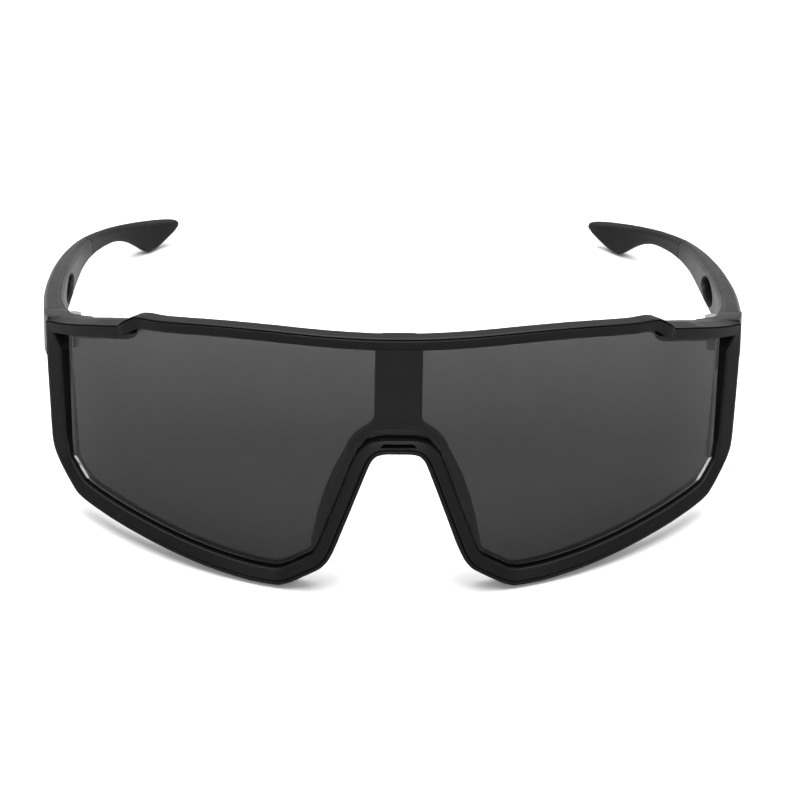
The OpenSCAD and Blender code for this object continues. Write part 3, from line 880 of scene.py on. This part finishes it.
# rows from the joint to the tip, in mm: back from the joint, outer side out from the joint, bottom up from
# the arm's bottom, thickness, top down from the arm's top
ARM_LINE = (
    (0, 0, 0, 5.1, 0), (3, 0.35, 0, 4.95, 0), (9.5, 1.1, 0.1, 4.5, 0), (19.5, 2.1, 0.3, 4.4, 0),
    (31, 2.8, 0.5, 4.4, 0), (44.5, 3.2, 0.8, 4.4, 0), (54.5, 3.2, 1.5, 4.3, 0), (64.5, 2.8, 2.5, 4.0, 0),
    (72, 2.2, 3.2, 3.7, 0), (78, 1.5, 3.7, 3.5, 0), (83, 0.6, 4.2, 3.4, 0), (88.5, -0.9, 4.8, 3.3, 0),
    (94, -2.9, 5.25, 3.2, 0), (97.5, -4.5, 5.4, 3.2, 0), (100.3, -6.2, 5.1, 3.2, 0),
    (103.2, -8.3, 4.2, 3.3, 0), (105.6, -10.4, 2.7, 3.4, 0), (107.1, -12.0, 1.55, 3.4, 0),
    (108.2, -13.3, 1.2, 3.3, 0), (109.9, -15.8, 2.4, 3.1, 0), (111.3, -18.2, 4.2, 2.8, 0.1),
    (112.3, -20.1, 5.8, 2.3, 0.4), (112.8, -21.2, 6.9, 1.6, 0.9),
)
ARM_LENGTH_0 = 113
ARM_HEIGHT_0 = 9
LOBE_HEIGHT_0 = 7.8
HINGE_FLARE = 1.15 * MM      # extra thickness low down behind the hinge
SEAM = 9.8                   # row where the rubber starts
NECK_ROW = 9                 # rows from here on are measured down from the top
LOBE_ROW = 13                # rows from here on grow with the lobe
SMOOTH = 5                   # steps between rows


def eased(p0, p1, p2, p3, t):
    """Smooth curve through p1 and p2."""
    return 0.5 * (2 * p1 + (p2 - p0) * t + (2 * p0 - 5 * p1 + 4 * p2 - p3) * t * t
                  + (3 * p1 - p0 - 3 * p2 + p3) * t ** 3)


class Arm:
    """Rows and sections of one side arm, in the wearing frame, in metres."""

    def __init__(self, front):
        a = settings("arms")
        self.front, self.a = front, a
        long_by = a.arm_length / (ARM_LENGTH_0 * MM)
        high_by = a.arm_height / (ARM_HEIGHT_0 * MM)
        lobe_by = a.lobe_height / (LOBE_HEIGHT_0 * MM)
        rows = []
        for i, (back, out, up, thick, down) in enumerate(ARM_LINE):
            deep = (ARM_HEIGHT_0 - up) * (1 if i < LOBE_ROW else lobe_by)
            low = up * high_by if i < NECK_ROW else a.arm_height / MM - deep
            rows.append([back * long_by * MM, out * MM, low * MM, thick * MM, down * MM])
        self.rows = rows

    def row(self, at):
        """Values at a fractional row number."""
        last = len(self.rows) - 1
        i = min(int(at), last - 1)
        p = [self.rows[max(0, min(last, i + k))] for k in (-1, 0, 1, 2)]
        return [eased(*values, at - i) for values in zip(*p)]

    def centre(self, at):
        back, out = self.row(at)[:2]
        return Vector((self.front.joint_x + out, self.front.joint_y + self.a.joint_gap + back))

    def inward(self, at):
        if at == 0:
            return Vector((-1, 0))
        last = len(self.rows) - 1
        d = (self.centre(min(last, at + 0.3)) - self.centre(max(0, at - 0.3))).normalized()
        return Vector((-d.y, d.x))

    def hump(self, back):
        """Share of the flare at that distance behind the joint."""
        rise = min(1, max(0, (back - 1.5 * MM) / (7 * MM)))
        fall = min(1, max(0, (27 * MM - back) / (12 * MM)))
        return rise * rise * (3 - 2 * rise) * fall * fall * (3 - 2 * fall)

    def loop(self, at):
        """Section at a row: a soft-cornered slab with a fine line along its inner top edge."""
        back, _, low, thick, down = self.row(at)
        o, n = self.centre(at), self.inward(at)
        bottom = self.front.bottom + low
        top = self.front.top - down
        height = top - bottom
        corner = min(0.75 * MM, thick * 0.26, height * 0.3)
        small = corner * 0.7
        shelf = 0.42 * MM
        dip = min(0.34 * MM, height * 0.08)
        edge = thick - small
        foot = thick + HINGE_FLARE * self.hump(back)
        line = [(0, bottom + corner), (0, top - corner), (corner, top), (edge - shelf * 1.8, top),
                (edge - shelf, top - dip), (edge - shelf * 0.3, top - dip * 0.2),
                (thick, top - small - dip), (foot, bottom + corner), (foot - corner, bottom),
                (corner, bottom)]
        points = [Vector((o.x + n.x * q[0], o.y + n.y * q[0], q[1])) for q in line]
        return rounded(points, 0.32 * MM, most=0.3)

    def window(self):
        """Cutter for the open slot: a pointed oval through the arm."""
        a = self.a
        long_by = a.arm_length / (ARM_LENGTH_0 * MM)
        centre_y = self.front.joint_y + 42 * MM * long_by
        centre_z = (self.front.top + self.front.bottom) / 2 + 0.3 * MM
        half, tall = a.window_length / 2 + 1.6 * MM, a.window_height / 2
        steps = 28
        turns = [math.pi * i / steps for i in range(steps * 2)]
        loops = []
        inner = self.front.joint_x + self.row(5)[1] - self.row(5)[3]
        for x, grow in ((inner - 8 * MM, 9 * MM), (inner + 0.9 * MM, 0.1 * MM), (inner + 12 * MM, 0)):
            long, high = half + grow, tall + grow * 0.4
            loops.append([Vector((x, centre_y + long * math.cos(t),
                                  centre_z + high * math.copysign(abs(math.sin(t)) ** 1.15, math.sin(t))))
                          for t in turns])
        bm = bmesh.new()
        tube(bm, loops)
        return bm


def arm_rows(first, last):
    count = round((last - first) * SMOOTH)
    return [first + i / SMOOTH for i in range(count + 1)]


def closed_ends(loops, round_by):
    """Adds a smaller loop outside each end, so that the ends have soft edges."""
    out = list(loops)
    for end, inner, at in ((loops[0], loops[1], 0), (loops[-1], loops[-2], len(loops))):
        mid = sum(end, Vector()) / len(end)
        away = mid - sum(inner, Vector()) / len(inner)
        push = away.normalized() * round_by * 0.6
        small = [p + (mid - p).normalized() * round_by for p in end]
        if at == 0:
            out[0] = [p - push for p in end]
            out.insert(0, small)
        else:
            out[-1] = [p - push for p in end]
            out.append(small)
    return out


class TempleArms(bpy.types.Operator):
    """Side arms with the open slot and the hinge recess"""

    bl_idname = "eyewear.temple_arms"
    bl_label = "Side arms"

    def execute(self, context):
        front = Front()
        arm = Arm(front)
        a = arm.a
        h = front.hinge
        for name, side in SIDES.items():
            matrix = mirrored(front.wear, side)
            bm = bmesh.new()
            loops = [arm.loop(at) for at in arm_rows(0, SEAM)]
            tube(bm, closed_ends(loops, a.seam_depth))
            obj = made(f"{name}_temple_arm_moulding", bm, matrix)
            carve(obj, made("window", arm.window(), matrix), "DIFFERENCE")
            bm = bmesh.new()
            barrel(bm, h, a.knuckle_r + 0.35 * MM, front.bottom - MM, front.top + MM)
            carve(obj, made("recess", bm, matrix), "DIFFERENCE")
            k1 = a.hinge_height * 0.32
            low = h.z - a.hinge_height / 2 + k1 - 0.05 * MM
            x1 = front.joint_x - 3.77 * MM
            tang = [(h.x, h.y - MM), (x1, h.y - MM), (x1, h.y + 9.73 * MM), (h.x, h.y + 9.73 * MM)]
            high = low + a.hinge_height - 2 * k1 + 0.1 * MM
            carve(obj, block("tang_slot", tang, low, high, matrix), "DIFFERENCE")
            finished(obj, material("satin_nylon"), f"{name}_temple", "frame", f"{name}_temple_arm")
        return {"FINISHED"}


class EarSocks(bpy.types.Operator):
    """Rubber ear ends with their lobe and rounded tip"""

    bl_idname = "eyewear.ear_socks"
    bl_label = "Ear ends"

    def execute(self, context):
        front = Front()
        arm = Arm(front)
        last = len(ARM_LINE) - 1
        for name, side in SIDES.items():
            bm = bmesh.new()
            loops = [arm.loop(at) for at in arm_rows(SEAM, last)]
            tube(bm, closed_ends(loops, arm.a.seam_depth))
            obj = made(f"{name}_ear_sock_rubber", bm, mirrored(front.wear, side))
            finished(obj, material("soft_rubber"), f"{name}_temple", "rubber", f"{name}_ear_sock", sharp=60)
        return {"FINISHED"}


class HingeSteel(bpy.types.Operator):
    """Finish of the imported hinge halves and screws"""

    bl_idname = "eyewear.hinges"
    bl_label = "Hinges and screws"

    def execute(self, context):
        for side in SIDES:
            for part, slot in (("front_hinge", "hinge_steel"), ("temple_hinge", "hinge_steel"),
                               ("hinge_screw", "screw_steel")):
                obj = frame["nodes"][f"{side}_{part}"]
                obj.data.materials.clear()
                obj.data.materials.append(material(slot))
                soft = obj.modifiers.new("edges", "BEVEL")
                soft.width, soft.segments, soft.limit_method = 0.06 * MM, 2, "ANGLE"
        return {"FINISHED"}


# ---------------------------------------------------------------- stage

# place, aim, size and power of each soft lamp
LAMPS = {
    "overhead": ((0.0, 0.1, 1.0), (0, 0, 0), 1.4, 22.0),
    "left_fill": ((-0.7, 0.3, 0.8), (0, 0, 0.02), 0.7, 1.7),
    "right_fill": ((0.7, 0.3, 0.8), (0, 0, 0.02), 0.7, 1.7),
    "front_fill": ((0.0, -1.1, 0.42), (0, 0, 0.02), 0.6, 6.0),
}
CAMERA_PLACE = Vector((-0.0131, -0.4942, 0.2884))
CAMERA_AIM = Vector((0.0019, -0.0199, 0.0104))
CAMERA_ROLL = math.radians(1.12)
CAMERA_LENS = 112.15
FLOOR_HALF = 3.0


def lamp(name, place, aim, size, power):
    data = bpy.data.lights.new(name, "AREA")
    data.shape, data.size, data.energy = "DISK", size, power
    obj = bpy.data.objects.new(name, data)
    obj.location = place
    obj.rotation_mode = "QUATERNION"
    obj.rotation_quaternion = (Vector(aim) - Vector(place)).to_track_quat("-Z", "Y")
    bpy.context.scene.collection.objects.link(obj)


def spread(tree, value, low, high, at_low, at_high):
    """Value mapped from one range to another."""
    n = tree.nodes.new("ShaderNodeMapRange")
    tree.links.new(value, n.inputs["Value"])
    for key, number in (("From Min", low), ("From Max", high), ("To Min", at_low), ("To Max", at_high)):
        n.inputs[key].default_value = number
    return n.outputs[0]


def pale_floor(base):
    """Plain floor that reads dimmer in the gloss of the plastic than to the eye."""
    mat, tree, shader = blank("pale_floor")
    shader.inputs["Roughness"].default_value = 0.9
    shader.inputs["Specular IOR Level"].default_value = 0.0
    ray = node(tree, "LightPath")
    place = node(tree, "TexCoord")
    split = tree.nodes.new("ShaderNodeSeparateXYZ")
    tree.links.new(place.outputs["Object"], split.inputs[0])
    ahead = spread(tree, split.outputs["Y"], -0.02, 0.1, 0.72, 0.0)
    behind = spread(tree, split.outputs["Y"], 0.1, 0.35, 0.0, 0.6)
    dim = math_node(tree, "ADD", ahead, behind)
    mix = tree.nodes.new("ShaderNodeMix")
    mix.data_type = "RGBA"
    mix.inputs["A"].default_value = (*base, 1)
    mix.inputs["B"].default_value = (0.02, 0.02, 0.02, 1)
    tree.links.new(math_node(tree, "MULTIPLY", ray.outputs["Is Glossy Ray"], dim), mix.inputs["Factor"])
    tree.links.new(mix.outputs["Result"], shader.inputs["Base Color"])
    return mat


def studio_world():
    world = bpy.data.worlds.new("studio")
    bpy.context.scene.world = world
    world.use_nodes = True
    tree = world.node_tree
    back = tree.nodes["Background"]
    place = node(tree, "TexCoord")
    split = tree.nodes.new("ShaderNodeSeparateXYZ")
    tree.links.new(place.outputs["Generated"], split.inputs[0])
    level = spread(tree, split.outputs["Y"], -0.9, 0.3, 0.1, 0.4)
    above = spread(tree, split.outputs["Z"], 0.15, 0.8, 0.0, 0.5)
    tree.links.new(math_node(tree, "ADD", level, above), back.inputs["Strength"])
    back.inputs["Color"].default_value = (1, 1, 1, 1)


class Studio(bpy.types.Operator):
    """Pale floor, soft light and camera"""

    bl_idname = "eyewear.stage"
    bl_label = "Stage"

    def execute(self, context):
        bm = bmesh.new()
        signs = ((-1, -1), (1, -1), (1, 1), (-1, 1))
        corners = [bm.verts.new((x * FLOOR_HALF, y * FLOOR_HALF, 0)) for x, y in signs]
        bm.faces.new(corners)
        floor = made("floor", bm)
        floor.data.materials.append(pale_floor(settings("finishes").floor))
        studio_world()
        for name, values in LAMPS.items():
            lamp(name, *values)
        data = bpy.data.cameras.new("camera")
        data.lens, data.sensor_width = CAMERA_LENS, 36.0
        camera = bpy.data.objects.new("camera", data)
        camera.location = CAMERA_PLACE
        camera.rotation_mode = "QUATERNION"
        roll = Quaternion((0, 0, 1), CAMERA_ROLL)
        camera.rotation_quaternion = (CAMERA_AIM - CAMERA_PLACE).to_track_quat("-Z", "Y") @ roll
        context.scene.collection.objects.link(camera)
        context.scene.camera = camera
        context.scene.view_settings.view_transform = "Standard"
        return {"FINISHED"}


# ---------------------------------------------------------------- panel and run

OPERATORS = (FrontFrame, ShieldLens, NoseBracket, NosePads, TempleArms, EarSocks, HingeSteel, Studio)


class EyewearPanel(bpy.types.Panel):
    """Buttons and sizes for the sunglasses"""

    bl_label = "Eyewear"
    bl_idname = "VIEW3D_PT_eyewear"
    bl_space_type = "VIEW_3D"
    bl_region_type = "UI"
    bl_category = "Eyewear"

    def draw(self, context):
        for operator in OPERATORS:
            self.layout.operator(operator.bl_idname)
        for name, kind in GROUPS.items():
            box = self.layout.box()
            for key in kind.__annotations__:
                box.prop(getattr(context.scene, name), key)


def register():
    for name, kind in GROUPS.items():
        bpy.utils.register_class(kind)
        setattr(bpy.types.Scene, name, PointerProperty(type=kind))
    for operator in (*OPERATORS, EyewearPanel):
        bpy.utils.register_class(operator)


def unregister():
    for operator in (EyewearPanel, *OPERATORS[::-1]):
        bpy.utils.unregister_class(operator)
    for name, kind in GROUPS.items():
        delattr(bpy.types.Scene, name)
        bpy.utils.unregister_class(kind)


def main():
    register()
    for operator in OPERATORS:
        family, name = operator.bl_idname.split(".")
        getattr(getattr(bpy.ops, family), name)()


if __name__ == "__main__":
    main()
